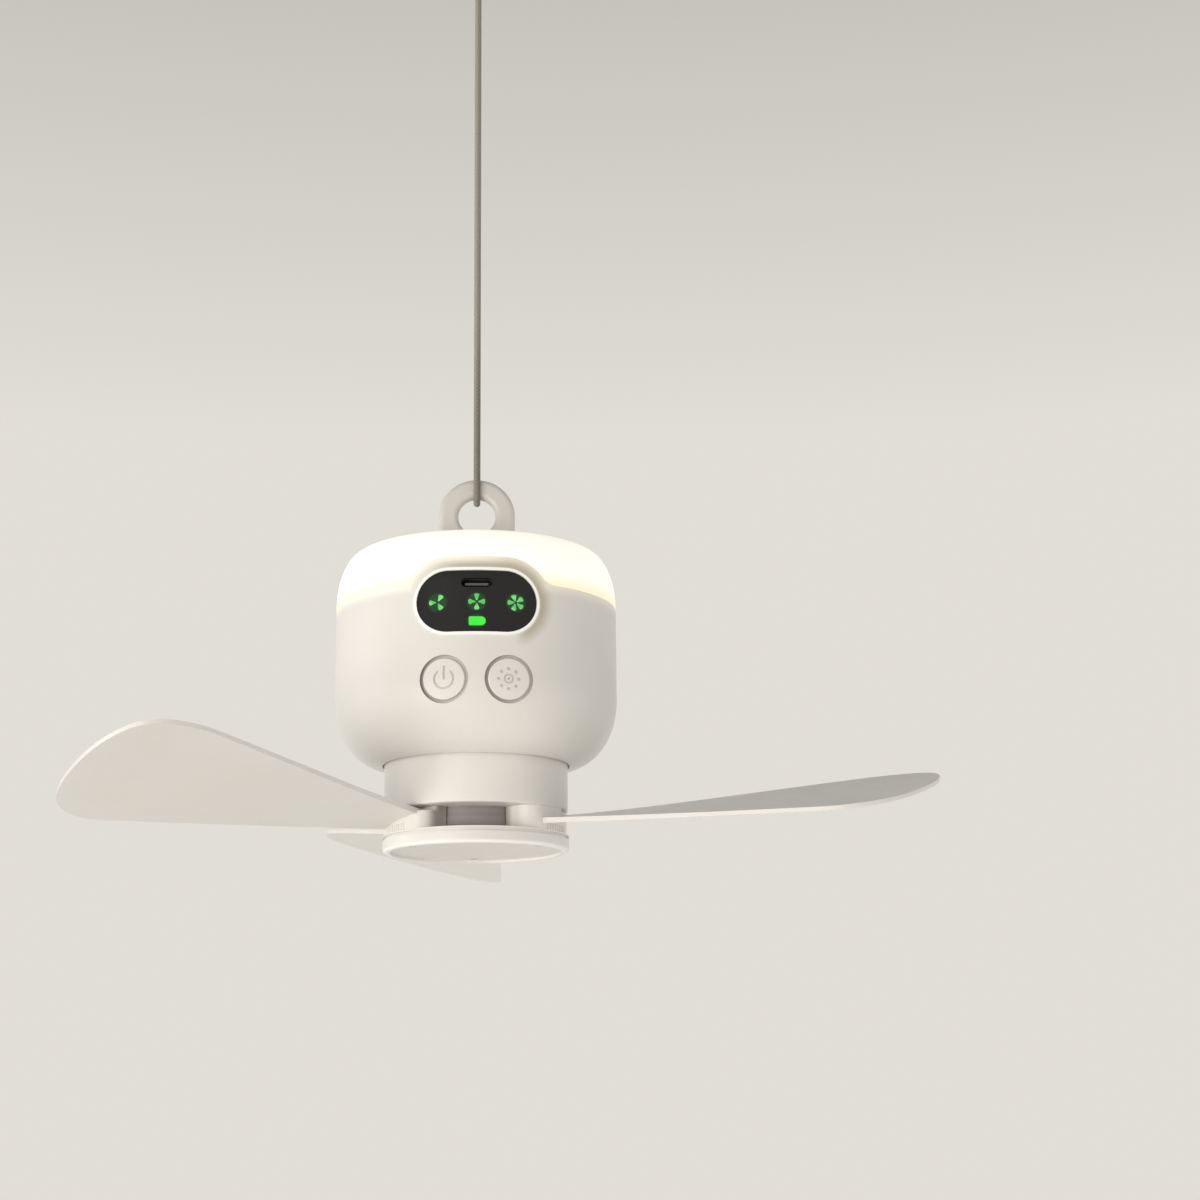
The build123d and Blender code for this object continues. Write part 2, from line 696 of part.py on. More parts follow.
def root_outline(azimuth):
    """Plan of a blade's root: its third of the ring, less the openings beside it."""
    share = 180 / blade_count
    mouth = hub_radius * cos(radians(mouth_angle))
    mouth_half = hub_radius * sin(radians(mouth_angle))
    window_half = core_radius * sin(radians(window_angle))
    bend = core_radius - 1.6
    reach = 3 * hub_radius
    with BuildSketch(mode=Mode.PRIVATE) as third:
        Polygon((0, 0), (reach, -reach * tan(radians(share))), (reach, reach * tan(radians(share))),
                align=None)
    with BuildSketch(mode=Mode.PRIVATE) as opening:
        Polygon((0, -window_half), (bend, -window_half), (mouth, -mouth_half),
                (mouth + 8, -mouth_half - 9), (mouth + 8, mouth_half + 9),
                (mouth, mouth_half), (bend, window_half), (0, window_half), align=None)
        fillet([v for v in opening.vertices() if abs(v.X - bend) < 0.01], scoop_radius)
    with BuildSketch(mode=Mode.PRIVATE) as plan:
        Circle(hub_radius)
        Circle(root_inner_radius, mode=Mode.SUBTRACT)
        add(third.sketch, mode=Mode.INTERSECT)
        for side in (-share, share):
            add(opening.sketch, rotation=side, mode=Mode.SUBTRACT)
        fillet([v for v in plan.vertices() if v.X ** 2 + v.Y ** 2 > (hub_radius - 0.1) ** 2],
               root_end_radius)
    add(plan.sketch, rotation=azimuth)


# The neck is a cup that turns under the body; its lower edge is rounded between the blade roots.
neck_edge = 0.7
boss_radius = 4.5
shaft_end = slot_low + 1.6
cap_screw_places = around(cap_screw_circle, blade_angles)
with BuildPart() as rotor_hub:
    disc(hub_radius, slot_top, neck_top)
    fillet(rotor_hub.edges().sort_by(Axis.Z)[0], neck_edge)
    for azimuth in blade_angles:
        with BuildSketch(at(slot_top)) as top_of_root:
            root_outline(azimuth)
            with BuildSketch(mode=Mode.PRIVATE) as shelf:
                shelf_outline(azimuth + leaf_turn)
            add(shelf.sketch, mode=Mode.SUBTRACT)
        extrude(top_of_root.sketch, amount=neck_edge)
    disc(hub_radius - hub_wall, slot_top + hub_floor, neck_top, mode=Mode.SUBTRACT)
    disc(boss_radius, slot_low + 0.6, slot_top + hub_floor)
    disc(motor_shaft_radius + 0.02, shaft_end, slot_top + hub_floor + 1, mode=Mode.SUBTRACT)
    disc(screw_radius + seat_gap, slot_top, slot_top + hub_floor, cap_screw_places, mode=Mode.SUBTRACT)
save(rotor_hub.part, "rotor_hub")

magnet_inner = stator_radius + air_gap
magnet_outer = magnet_inner + magnet_thickness
yoke_inner = magnet_outer + seat_gap
yoke_low = slot_top + hub_floor
yoke_high = neck_top - 2.0
with BuildPart() as rotor_yoke:
    disc(yoke_inner + yoke_thickness, yoke_low, yoke_high)
    disc(yoke_inner, yoke_low, yoke_high, mode=Mode.SUBTRACT)
save(rotor_yoke.part, "rotor_yoke")

magnet_low = stator_level - magnet_overhang
magnet_high = stator_level + stator_height + magnet_overhang
with BuildPart() as magnet_ring:
    disc(magnet_outer, magnet_low, magnet_high)
    disc(magnet_inner, magnet_low, magnet_high, mode=Mode.SUBTRACT)
save(magnet_ring.part, "magnet_ring")

clip_level = mount_top + slide_gap
clip_groove = 0.3
with BuildPart() as motor_shaft:
    disc(motor_shaft_radius, shaft_end + 0.1, clip_level)
    disc(motor_shaft_radius - clip_groove, clip_level, clip_level + clip_thickness + 0.05)
    disc(motor_shaft_radius, clip_level + clip_thickness + 0.05, clip_level + 1.2)
save(motor_shaft.part, "motor_shaft")

with BuildPart() as shaft_clip:
    disc(2 * motor_shaft_radius, clip_level, clip_level + clip_thickness)
    disc(motor_shaft_radius - clip_groove + 0.02, clip_level, clip_level + clip_thickness,
         mode=Mode.SUBTRACT)
save(shaft_clip.part, "shaft_clip")

with BuildPart() as hub_core:
    disc(core_radius, slot_low, slot_top)
    disc(core_radius - core_wall, slot_low, slot_top, mode=Mode.SUBTRACT)
save(hub_core.part, "hub_core")

# ---------------------------------------------------------------- blades
# A thin leaf that twists a little grows out of a thick root, which fills its share of the ring between
# neck and cap. The roots' ends are scooped out, so an opening is left between two roots.
leading_root = (hub_radius - 5.4, 8.4)
leading_end = (104.0, 50.3)
tip_points = [(112.0, 53.2), (119.0, 54.2), (124.8, 52.4), (128.8, 46.8), (131.5, 38.5), (132.7, 28.0),
              (132.5, 17.0), (130.9, 7.6), (127.3, 0.4), (121.2, -4.9)]
trailing_end = (112.0, -7.0)
trailing_root = (hub_radius - 1.4, -6.8)
leaf_middle = 25.0           # of its sections, across the leaf
leaf_span = 90.0
section_radii = [12.0, 34.0, 56.0, 80.0, 110.0, leaf_reach]


def rootness(radius):
    """1 at the axis, falling ever more slowly to 0 at the outermost section."""
    return (1 - radius / leaf_reach) ** 3


def leaf_section(azimuth, radius):
    """Plane across a leaf at a radius: X towards its raised edge."""
    turn = radians(azimuth)
    pitch = radians(leaf_pitch - leaf_twist * rootness(radius))
    height = leaf_height - leaf_droop * radius - hang_drop
    across = Vector(-sin(turn) * cos(pitch), cos(turn) * cos(pitch), sin(pitch))
    return Plane((radius * cos(turn), radius * sin(turn), height), x_dir=across,
                 z_dir=(cos(turn), sin(turn), 0))


def leaf_outline(azimuth):
    """Plan of a leaf: straight edges that spread from the root, joined by a broad rounded tip."""
    with BuildSketch(mode=Mode.PRIVATE) as plan:
        with BuildLine() as edge:
            leading = Line(leading_root, leading_end)
            trailing = Line(trailing_end, trailing_root)
            Spline(leading_end, *tip_points, trailing_end, tangents=(leading % 1, trailing % 0),
                   tangent_scalars=(1, 1))
            Line(trailing_root, leading_root)
        make_face(edge.edges())
    add(plan.sketch, rotation=azimuth)


def leaf_solid(azimuth):
    """A leaf with its twist, cut to its outline."""
    with BuildPart() as leaf:
        for radius in section_radii:
            with BuildSketch(leaf_section(azimuth, radius)):
                with Locations((leaf_middle, 0)):
                    Rectangle(leaf_span, leaf_thickness + leaf_swelling * rootness(radius))
        loft()
        with BuildSketch(at(slot_low - 10)):
            leaf_outline(azimuth)
        extrude(amount=50, mode=Mode.INTERSECT)
    return leaf.part


def shelf_solid(azimuth):
    """The space above a leaf, over the shelf of its root."""
    with BuildPart() as space:
        with BuildSketch(at(slot_low - 10)):
            shelf_outline(azimuth)
        extrude(amount=50)
        with BuildSketch(leaf_section(azimuth, hub_radius - shelf_depth)):
            Rectangle(6 * hub_radius, 30, align=(Align.CENTER, Align.MIN))
        extrude(amount=2 * shelf_depth, both=True, mode=Mode.INTERSECT)
    return space.part


for number, azimuth in enumerate(blade_angles, 1):
    flutes = [azimuth + flute_step * (turn - (flute_count - 1) / 2) for turn in range(flute_count)]
    with BuildPart() as blade:
        with BuildSketch(at(slot_low + seat_gap)):
            root_outline(azimuth)
        extrude(amount=slot_height - 2 * seat_gap)
        disc(flute_radius, slot_low, flute_top, around(hub_radius, flutes), mode=Mode.SUBTRACT)
        add(shelf_solid(azimuth + leaf_turn), mode=Mode.SUBTRACT)
        add(leaf_solid(azimuth + leaf_turn))
        disc(screw_radius + slide_gap, slot_low, slot_top, around(cap_screw_circle, [azimuth]),
             mode=Mode.SUBTRACT)
    save(blade.part, f"blade_{number}")

# ---------------------------------------------------------------- bottom cap
cap_radius = hub_radius + cap_overhang
cap_rim = 2.2                # width of the rim round the recessed underside
cap_recess = 0.8
cap_floor = 2.0              # under the hollow in the middle
line_low = slot_low - 1.4    # groove round the cap, under its thin upper lip
line_high = slot_low - 0.5
line_depth = 0.7
hollow_radius = core_radius - core_wall - 0.6
screw_seat = cap_low + 2.0
with BuildPart() as bottom_cap:
    disc(cap_radius, cap_low, slot_low)
    fillet(bottom_cap.edges().sort_by(Axis.Z)[0], 1.2)
    disc(cap_radius - cap_rim, cap_low, cap_low + cap_recess, mode=Mode.SUBTRACT)
    disc(cap_radius + 1, line_low, line_high, mode=Mode.SUBTRACT)
    disc(cap_radius - line_depth, line_low, line_high)
    disc(hollow_radius, cap_low + cap_recess + cap_floor, slot_low, mode=Mode.SUBTRACT)
    disc(screw_radius + slide_gap, cap_low, slot_low, cap_screw_places, mode=Mode.SUBTRACT)
    disc(screw_head_radius + slide_gap, cap_low, screw_seat, cap_screw_places, mode=Mode.SUBTRACT)
save(bottom_cap.part, "bottom_cap")

with BuildPart() as cap_screws:
    disc(screw_head_radius, screw_seat - 1.0, screw_seat, cap_screw_places)
    disc(screw_radius, screw_seat, slot_top + hub_floor - 0.2, cap_screw_places)
    with BuildSketch(at(screw_seat - 1.0)):
        with Locations(*cap_screw_places):
            Rectangle(1.8, 0.4)
            Rectangle(0.4, 1.8)
    extrude(amount=0.5, mode=Mode.SUBTRACT)
save(cap_screws.part, "cap_screws")

# ---------------------------------------------------------------- cord and its fitting
# The cord runs down in front of the ring, round the top of its hole and up again behind it; both
# ends sit in the fitting, whose eye takes the hook that holds the fan.
with BuildPart() as cord_fitting:
    disc(fitting_radius, fitting_level, fitting_level + fitting_height)
    with BuildSketch(front.offset(-eye_thickness / 2)):
        with Locations((0, hang_drop)):
            Circle(eye_outer_radius)
    extrude(amount=eye_thickness)
    with BuildSketch(front.offset(-eye_thickness)):
        with Locations((0, hang_drop)):
            Circle(eye_radius)
    extrude(amount=2 * eye_thickness, mode=Mode.SUBTRACT)
    disc(cord_radius + cord_clearance, fitting_level, fitting_level + socket_depth,
         [(0, -strand_spacing / 2), (0, strand_spacing / 2)], mode=Mode.SUBTRACT)
save(cord_fitting.part, "cord_fitting")

bend_radius = ring_edge + cord_radius + cord_clearance
bend_level = ring_hole_level + ring_hole_radius + ring_edge
bend_offset = ring_thickness / 2 - ring_edge
tangent = bend_radius * tan(radians(22.5))
front_half = [
    (0, -strand_spacing / 2, fitting_level + socket_depth),
    (0, -bend_offset - bend_radius, bend_level - tangent),
    (0, -bend_offset - tangent, bend_level - bend_radius),
]
route = [(x, y, z - hang_drop) for x, y, z in front_half]
route += [(x, -y, z) for x, y, z in reversed(route)]


def cord_radii(points):
    """As large an arc at each corner as its two runs allow."""
    radii = []
    for before, corner, after in zip(points, points[1:], points[2:]):
        run_in = Vector(*corner) - Vector(*before)
        run_out = Vector(*after) - Vector(*corner)
        turn = run_in.get_angle(run_out)
        radii.append(0.45 * min(run_in.length, run_out.length) / tan(radians(turn / 2)))
    return radii


radii = cord_radii(route)
with BuildPart() as hang_cord:
    with BuildLine() as cord_path:
        FilletPolyline(*route, radius=radii)
    with BuildSketch(Plane(route[0], z_dir=Vector(*route[1]) - Vector(*route[0]))):
        Circle(cord_radius)
    sweep()
save(hang_cord.part, "hang_cord")
cord_length = sum(edge.length for edge in cord_path.edges())
print("cord arc radii", [round(radius, 2) for radius in radii])
print("cord length", round(cord_length, 1), "volume over section times length",
      round(hang_cord.part.volume / (pi * cord_radius ** 2 * cord_length), 4))
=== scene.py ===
import math

import bpy
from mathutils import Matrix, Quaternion, Vector


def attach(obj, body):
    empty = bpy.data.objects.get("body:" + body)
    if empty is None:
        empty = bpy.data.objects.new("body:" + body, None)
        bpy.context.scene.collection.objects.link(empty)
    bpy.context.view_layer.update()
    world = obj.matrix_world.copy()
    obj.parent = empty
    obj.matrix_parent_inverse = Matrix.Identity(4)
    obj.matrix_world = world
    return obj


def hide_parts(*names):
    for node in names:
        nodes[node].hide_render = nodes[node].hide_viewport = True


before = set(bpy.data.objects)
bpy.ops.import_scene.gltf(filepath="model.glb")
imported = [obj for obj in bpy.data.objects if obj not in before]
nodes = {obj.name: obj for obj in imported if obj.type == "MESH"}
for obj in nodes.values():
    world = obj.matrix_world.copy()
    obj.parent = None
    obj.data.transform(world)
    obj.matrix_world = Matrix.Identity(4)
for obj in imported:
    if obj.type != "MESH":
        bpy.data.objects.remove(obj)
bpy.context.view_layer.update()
scene = bpy.context.scene
scene.view_settings.view_transform = "Standard"
scene.view_settings.look = "None"

# Sizes of the CAD model. Heights and levels are measured from the seam between body and rotor.
MM = 0.001
HANG_DROP = 274.5 * MM              # from the origin, the hanging eye, down to the seam
BODY_RADIUS = 42.4 * MM
BODY_BOTTOM_WIDTH = 14.4 * MM       # of the rounding at the body's lower edge
BODY_BOTTOM_HEIGHT = 20.0 * MM
PARTING_HEIGHT = 47.4 * MM          # where the lamp begins
HOOD_MARGIN = 4.5 * MM              # from the display's edge to the hood's
DISPLAY_WIDTH = 34.3 * MM
DISPLAY_HEIGHT = 17.8 * MM
DISPLAY_LEVEL = 41.4 * MM
ICON_SPACING = 11.2 * MM
ICON_LEVEL = 41.15 * MM
BATTERY_LEVEL = 35.5 * MM
BUTTON_LEVEL = 18.9 * MM
BUTTON_SPACING = 18.4 * MM
CAP_RADIUS = 27.7 * MM
CAP_LOW = -25.8 * MM
CORD_RADIUS = 1.05 * MM
BLADE_AZIMUTHS = (90.0, 210.0, 330.0)   # degrees

# ---------------------------------------------------------------- camera
CAMERA_PLACE = (0.0, -0.6559, -0.3780)
CAMERA_PITCH = math.radians(13.29)
CAMERA_YAW = math.radians(3.29)
CAMERA_ROLL = math.radians(0.6)
CAMERA_LENS = 66.14                 # millimetres, as the sensor's width
CAMERA_SENSOR = 36.0


def make_camera():
    """Camera where the photograph was taken from: in front of the fan and below its body."""
    data = bpy.data.cameras.new("camera")
    data.sensor_width = CAMERA_SENSOR
    data.lens = CAMERA_LENS
    data.clip_start = 0.01
    camera = bpy.data.objects.new("camera", data)
    scene.collection.objects.link(camera)
    level = math.cos(CAMERA_PITCH)
    ahead = Vector((math.sin(CAMERA_YAW) * level, math.cos(CAMERA_YAW) * level, math.sin(CAMERA_PITCH)))
    camera.location = CAMERA_PLACE
    camera.rotation_mode = "QUATERNION"
    camera.rotation_quaternion = Quaternion(ahead, CAMERA_ROLL) @ ahead.to_track_quat("-Z", "Y")
    scene.camera = camera


make_camera()

# ---------------------------------------------------------------- cord
FRONT_ROUTE = [                     # x, y and height in millimetres
    (0.0, -2.2, 264.5),
    (0.0, -3.27, 96.5),
    (0.0, -3.35, 83.92),
    (0.0, -1.68, 82.25),
]


def make_cord():
    """The doubled cord: down in front of the ring, round the top of its hole and up behind it."""
    route = [Vector((x, y, z)) * MM - Vector((0, 0, HANG_DROP)) for x, y, z in FRONT_ROUTE]
    route += [Vector((p.x, -p.y, p.z)) for p in reversed(route)]
    curve = bpy.data.curves.new("hanging_cord", "CURVE")
    curve.dimensions = "3D"
    curve.bevel_depth = 1.0         # metres; each point's radius scales it
    curve.bevel_resolution = 6
    curve.resolution_u = 24
    curve.use_fill_caps = True
    spline = curve.splines.new("NURBS")
    spline.points.add(len(route) - 1)
    for point, place in zip(spline.points, route):
        point.co = (*place, 1.0)
        point.radius = CORD_RADIUS
    spline.order_u = 3
    spline.use_endpoint_u = True
    cord = bpy.data.objects.new("hanging_cord", curve)
    scene.collection.objects.link(cord)
    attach(cord, "housing")
    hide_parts("hang_cord")
    return cord


cord = make_cord()


# ---------------------------------------------------------------- material tools
def colour_sockets(sockets):
    """A mix node has sockets for numbers, vectors and colours; these are its colours."""
    return [socket for socket in sockets if socket.type == "RGBA"]


class Graph:
    """Short hand for building a material's nodes."""

    def __init__(self, name):
        self.material = bpy.data.materials.new(name)
        self.material.use_nodes = True
        self.tree = self.material.node_tree
        self.tree.nodes.clear()
        output = self.tree.nodes.new("ShaderNodeOutputMaterial")
        self.shader = self.tree.nodes.new("ShaderNodeBsdfPrincipled")
        self.tree.links.new(self.shader.outputs["BSDF"], output.inputs["Surface"])
        self.place = self.tree.nodes.new("ShaderNodeTexCoord").outputs["Object"]

    def put(self, socket, value):
        """Links an output, or sets a number or colour."""
        if isinstance(value, bpy.types.NodeSocket):
            self.tree.links.new(value, socket)
        elif isinstance(value, (tuple, list)) and len(value) == 3 and len(socket.default_value) == 4:
            socket.default_value = (*value, 1.0)
        else:
            socket.default_value = value

    def set(self, **values):
        """Sets inputs of the shader; an underscore stands for a space."""
        for name, value in values.items():
            self.put(self.shader.inputs[name.replace("_", " ")], value)

    def math(self, operation, *values):
        node = self.tree.nodes.new("ShaderNodeMath")
        node.operation = operation
        for socket, value in zip(node.inputs, values):
            self.put(socket, value)
        return node.outputs[0]

    def add(self, first, second):
        return self.math("ADD", first, second)

    def minus(self, first, second):
        return self.math("SUBTRACT", first, second)

    def times(self, *values):
        """All values multiplied."""
        product = values[0]
        for value in values[1:]:
            product = self.math("MULTIPLY", product, value)
        return product

    def larger(self, first, second):
        return self.math("MAXIMUM", first, second)

    def distance(self, across, up):
        """Length of a step with two sides at a right angle."""
        return self.math("SQRT", self.add(self.times(across, across), self.times(up, up)))

    def axes(self):
        """The x, y and z of the place."""
        node = self.tree.nodes.new("ShaderNodeSeparateXYZ")
        self.put(node.inputs[0], self.place)
        return node.outputs

    def height(self):
        """Height above the seam between body and rotor."""
        return self.add(self.axes()[2], HANG_DROP)

    def front(self):
        """1 on the front half."""
        return self.math("LESS_THAN", self.axes()[1], 0.0)

    def noise(self, scale, detail=2.0, roughness=0.5, stretch=None):
        """Noise with a scale in features per metre."""
        place = self.place
        if stretch:
            mapping = self.tree.nodes.new("ShaderNodeMapping")
            mapping.inputs["Scale"].default_value = stretch
            self.put(mapping.inputs["Vector"], place)
            place = mapping.outputs[0]
        return self.texture("Noise", place, Scale=scale, Detail=detail, Roughness=roughness).outputs["Fac"]

    def texture(self, kind, place, **values):
        """Texture node of a kind; an underscore stands for a space."""
        node = self.tree.nodes.new("ShaderNodeTex" + kind)
        self.put(node.inputs["Vector"], place)
        for name, value in values.items():
            self.put(node.inputs[name.replace("_", " ")], value)
        return node

    def ramp(self, value, low, high, start=0.0, end=1.0):
        """start at or below low, end at or above high, and smooth between."""
        node = self.tree.nodes.new("ShaderNodeMapRange")
        node.interpolation_type = "SMOOTHSTEP"
        for name, number in (("Value", value), ("From Min", low), ("From Max", high),
                             ("To Min", start), ("To Max", end)):
            self.put(node.inputs[name], number)
        return node.outputs["Result"]

    def within(self, value, edge, softness):
        """1 up to an edge and 0 beyond it."""
        return self.ramp(value, edge, edge + softness, 1.0, 0.0)

    def beyond(self, value, edge, softness):
        """0 up to an edge and 1 beyond it."""
        return self.ramp(value, edge, edge + softness)

    def mix(self, share, first, second):
        """Colour between two colours."""
        node = self.tree.nodes.new("ShaderNodeMix")
        node.data_type = "RGBA"
        self.put(node.inputs["Factor"], share)
        for socket, colour in zip(colour_sockets(node.inputs), (first, second)):
            self.put(socket, colour)
        return colour_sockets(node.outputs)[0]

    def bump(self, height, distance, before=None):
        """Normal of a relief whose highest point rises by distance, on top of another normal."""
        node = self.tree.nodes.new("ShaderNodeBump")
        self.put(node.inputs["Height"], height)
        self.put(node.inputs["Distance"], distance)
        self.put(node.inputs["Strength"], 1.0)
        if before is not None:
            self.put(node.inputs["Normal"], before)
        return node.outputs["Normal"]


def paint(material, *names):
    """Gives CAD nodes a material."""
    for name in names:
        data = nodes[name].data
        data.materials.clear()
        data.materials.append(material)


# ---------------------------------------------------------------- plastics
WHITE = (0.80, 0.787, 0.765)
WHITE_SHADE = (0.775, 0.76, 0.737)
GROOVE_SHADE = (0.36, 0.345, 0.32)
MOULD_GRAIN = 2600.0                # features per metre
MOULD_GRAIN_DEPTH = 0.02 * MM
GLOW_DEPTH = 4.5 * MM               # how far the lamp shines into the housing
GLOW_STRENGTH = 0.30
FRAME_HIGHLIGHT_WIDTH = 0.90 * MM             # of the painted highlight on the frame round the display
# strength of the faint glow in the painted highlight on the display's frame
FRAME_HIGHLIGHT_GLOW = 0.12
HOOD_SHADE = (0.45, 0.40, 0.29)
GROOVE_RADIUS = 6.80 * MM           # outside of a button's groove
BUTTON_RADIUS = 5.85 * MM           # inside of it
SYMBOL_RADIUS = 4.0 * MM            # of the circle that holds a button's symbol
SYMBOL_DEPTH = 0.12 * MM            # where the button is sunk deeper, it is engraved
# colour of the painted shade in the engraved symbols
ENGRAVING_SHADE = (0.46, 0.44, 0.41)
# width of the painted highlight along the cap's lower rim
CAP_RIM_HIGHLIGHT_WIDTH = 2.2 * MM
ROOT_REACH = 19.5 * MM              # from the axis to the end of the shade at a blade's root
ROOT_SIDE = 9.6 * MM                # from the blade's middle line to the shade
LINE = 0.15 * MM                    # softness of a sharp edge between two colours


def grain(graph, before=None):
    """Normal with the fine grain of a mould."""
    return graph.bump(graph.noise(MOULD_GRAIN, 2.0), MOULD_GRAIN_DEPTH, before)


def moulded(graph, light, dark, roughness=0.42):
    """Satin moulded plastic: uneven gloss and the mould's grain. Returns its cloudy colour."""
    clouds = graph.noise(22.0, 3.0)
    colour = graph.mix(graph.ramp(clouds, 0.3, 0.7), dark, light)
    specks = graph.ramp(graph.noise(900.0, 1.0, 0.4), 0.70, 0.78, 0.0, 0.10)
    colour = graph.mix(specks, colour, tuple(0.6 * c for c in dark))
    gloss = graph.ramp(graph.noise(140.0, 4.0, 0.6), 0.25, 0.75, roughness - 0.05, roughness + 0.06)
    waves = graph.bump(graph.noise(45.0, 1.0), 0.08 * MM)
    graph.set(Roughness=gloss, Specular_IOR_Level=0.7, Normal=grain(graph, before=waves))
    return colour


def plain_material(name, light, dark, roughness=0.5):
    graph = Graph(name)
    graph.set(Base_Color=moulded(graph, light, dark, roughness))
    return graph.material


def button_place(graph):
    """On the front: the step to the right from the nearer button's axis, and the distance from it."""
    x = graph.axes()[0]
    outwards = graph.minus(graph.math("ABSOLUTE", x), BUTTON_SPACING / 2)
    reach = graph.distance(outwards, graph.minus(graph.height(), BUTTON_LEVEL))
    return graph.times(outwards, graph.math("SIGN", x)), reach


def groove_shade(graph, step):
    """Share of shade in a button's groove: strong on its left, weak on its right."""
    return graph.ramp(step, -6 * MM, 6 * MM, 0.75, 0.25)


def display_distance(graph):
    """Distance on the front plane from the pill-shaped display's edge, negative inside it."""
    radius = DISPLAY_HEIGHT / 2
    x = graph.math("ABSOLUTE", graph.axes()[0])
    across = graph.larger(graph.minus(x, DISPLAY_WIDTH / 2 - radius), 0.0)
    return graph.minus(graph.distance(across, graph.minus(graph.height(), DISPLAY_LEVEL)), radius)


def housing_material():
    """White plastic that the lamp shines through along its edge.

    The frame round the display has a painted highlight: a lighter colour and a faint glow. Painted
    shade lies where the hood bends away to the right and above, and in the buttons' grooves.
    """
    graph = Graph("housing_plastic")
    colour = moulded(graph, WHITE, WHITE_SHADE)
    x, height, front = graph.axes()[0], graph.height(), graph.front()
    margin = display_distance(graph)

    hood = graph.minus(graph.minus(HOOD_MARGIN, margin), graph.minus(1.0, front))
    depth = graph.larger(graph.minus(PARTING_HEIGHT, height), hood)     # below the lamp's edge
    glow = graph.within(depth, 0.0, GLOW_DEPTH)
    glow = graph.times(glow, glow, graph.ramp(x, -10 * MM, 30 * MM, 1.0, 0.4))

    above = graph.beyond(height, DISPLAY_LEVEL + 1 * MM, 6 * MM)
    beside = graph.beyond(x, DISPLAY_WIDTH / 2 - 7 * MM, 5 * MM)
    reach = graph.ramp(x, 2 * MM, 14 * MM, 4.1 * MM, 5.6 * MM)
    shade = graph.times(graph.larger(above, beside), front,
                        graph.ramp(x, -15 * MM, -4 * MM, 0.1, 1.0),
                        graph.ramp(margin, 1.3 * MM, reach, 1.0, 0.0),
                        graph.ramp(margin, 1.0 * MM, 1.6 * MM, 0.3, 1.0))
    colour = graph.mix(graph.times(shade, 0.80), colour, HOOD_SHADE)

    step, reach = button_place(graph)
    groove = graph.times(graph.within(reach, GROOVE_RADIUS, LINE), front)
    colour = graph.mix(graph.times(groove, groove_shade(graph, step)), colour, GROOVE_SHADE)

    # painted highlight on the display's frame: a lighter colour and a faint glow
    rim = graph.times(graph.within(margin, FRAME_HIGHLIGHT_WIDTH, LINE), front)
    strength = graph.add(graph.times(glow, GLOW_STRENGTH), graph.times(rim, FRAME_HIGHLIGHT_GLOW))
    graph.set(Base_Color=graph.mix(rim, colour, (0.92, 0.915, 0.89)), Emission_Strength=strength,
              Emission_Color=graph.mix(rim, (1.0, 0.86, 0.50), (1.0, 0.97, 0.90)))
    return graph.material


def cap_material():
    """White plastic with a painted highlight along the cap's lower rim."""
    graph = Graph("cap_plastic")
    colour = moulded(graph, WHITE, WHITE_SHADE, 0.40)
    x, y, _ = graph.axes()
    # painted highlight along the cap's lower rim
    rim = graph.times(graph.beyond(graph.distance(x, y), CAP_RADIUS - CAP_RIM_HIGHLIGHT_WIDTH, 0.8 * MM),
                      graph.within(graph.height(), CAP_LOW + 0.4 * MM, 0.6 * MM))
    graph.set(Base_Color=graph.mix(rim, colour, (0.97, 0.96, 0.95)))
    return graph.material


def button_material():
    """White plastic with painted shade in the engraved symbols and on the wall of its groove."""
    graph = Graph("button_plastic")
    colour = moulded(graph, WHITE, WHITE_SHADE, 0.44)
    step, reach = button_place(graph)
    groove = graph.times(graph.beyond(reach, BUTTON_RADIUS, LINE), groove_shade(graph, step))
    colour = graph.mix(groove, colour, GROOVE_SHADE)

    below = graph.larger(graph.minus(BODY_BOTTOM_HEIGHT, graph.height()), 0.0)
    fall = graph.math("DIVIDE", below, BODY_BOTTOM_HEIGHT)
    curve = graph.math("SQRT", graph.minus(1.0, graph.times(fall, fall)))
    skin = graph.add(BODY_RADIUS - BODY_BOTTOM_WIDTH, graph.times(curve, BODY_BOTTOM_WIDTH))
    x, y, _ = graph.axes()
    sunk = graph.minus(skin, graph.distance(x, y))
    # painted shade in the engraved symbols, where the button is sunk deeper
    symbol = graph.times(graph.beyond(sunk, SYMBOL_DEPTH, 0.14 * MM),
                         graph.within(reach, SYMBOL_RADIUS, 0.4 * MM), 0.45)
    graph.set(Base_Color=graph.mix(symbol, colour, ENGRAVING_SHADE))
    return graph.material


def lamp_material():
    """Opal plastic lit from inside, warmer and dimmer towards its lower edge."""
    graph = Graph("lamp_opal")
    height = graph.height()
    clouds = graph.noise(30.0, 2.0)
    colour = graph.mix(clouds, (0.86, 0.85, 0.80), (0.90, 0.89, 0.85))
    colour = graph.mix(graph.ramp(height, PARTING_HEIGHT, PARTING_HEIGHT + 6 * MM, 0.85, 0.0),
                       colour, (0.84, 0.79, 0.54))
    graph.set(Base_Color=colour, Normal=grain(graph),
              Roughness=graph.ramp(graph.noise(160.0, 3.0), 0.3, 0.7, 0.34, 0.44),
              Subsurface_Weight=0.2, Subsurface_Radius=(0.004, 0.003, 0.002))
    light = graph.ramp(height, PARTING_HEIGHT, PARTING_HEIGHT + 5 * MM, 0.80, 1.0)
    spots = graph.ramp(clouds, 0.3, 0.7, 0.97, 1.03)
    warmth = graph.ramp(light, 0.8, 1.0)
    graph.set(Emission_Color=graph.mix(warmth, (1.0, 0.92, 0.70), (1.0, 0.955, 0.82)),
              Emission_Strength=graph.times(light, spots, 0.50))
    return graph.material


def ring_material():
    """Grey-white plastic that lets some light into it."""
    graph = Graph("ring_plastic")
    colour = moulded(graph, (0.66, 0.64, 0.615), (0.62, 0.60, 0.575), 0.34)
    graph.set(Base_Color=colour, Subsurface_Weight=0.5, Subsurface_Radius=(0.006, 0.005, 0.0045))
    return graph.material


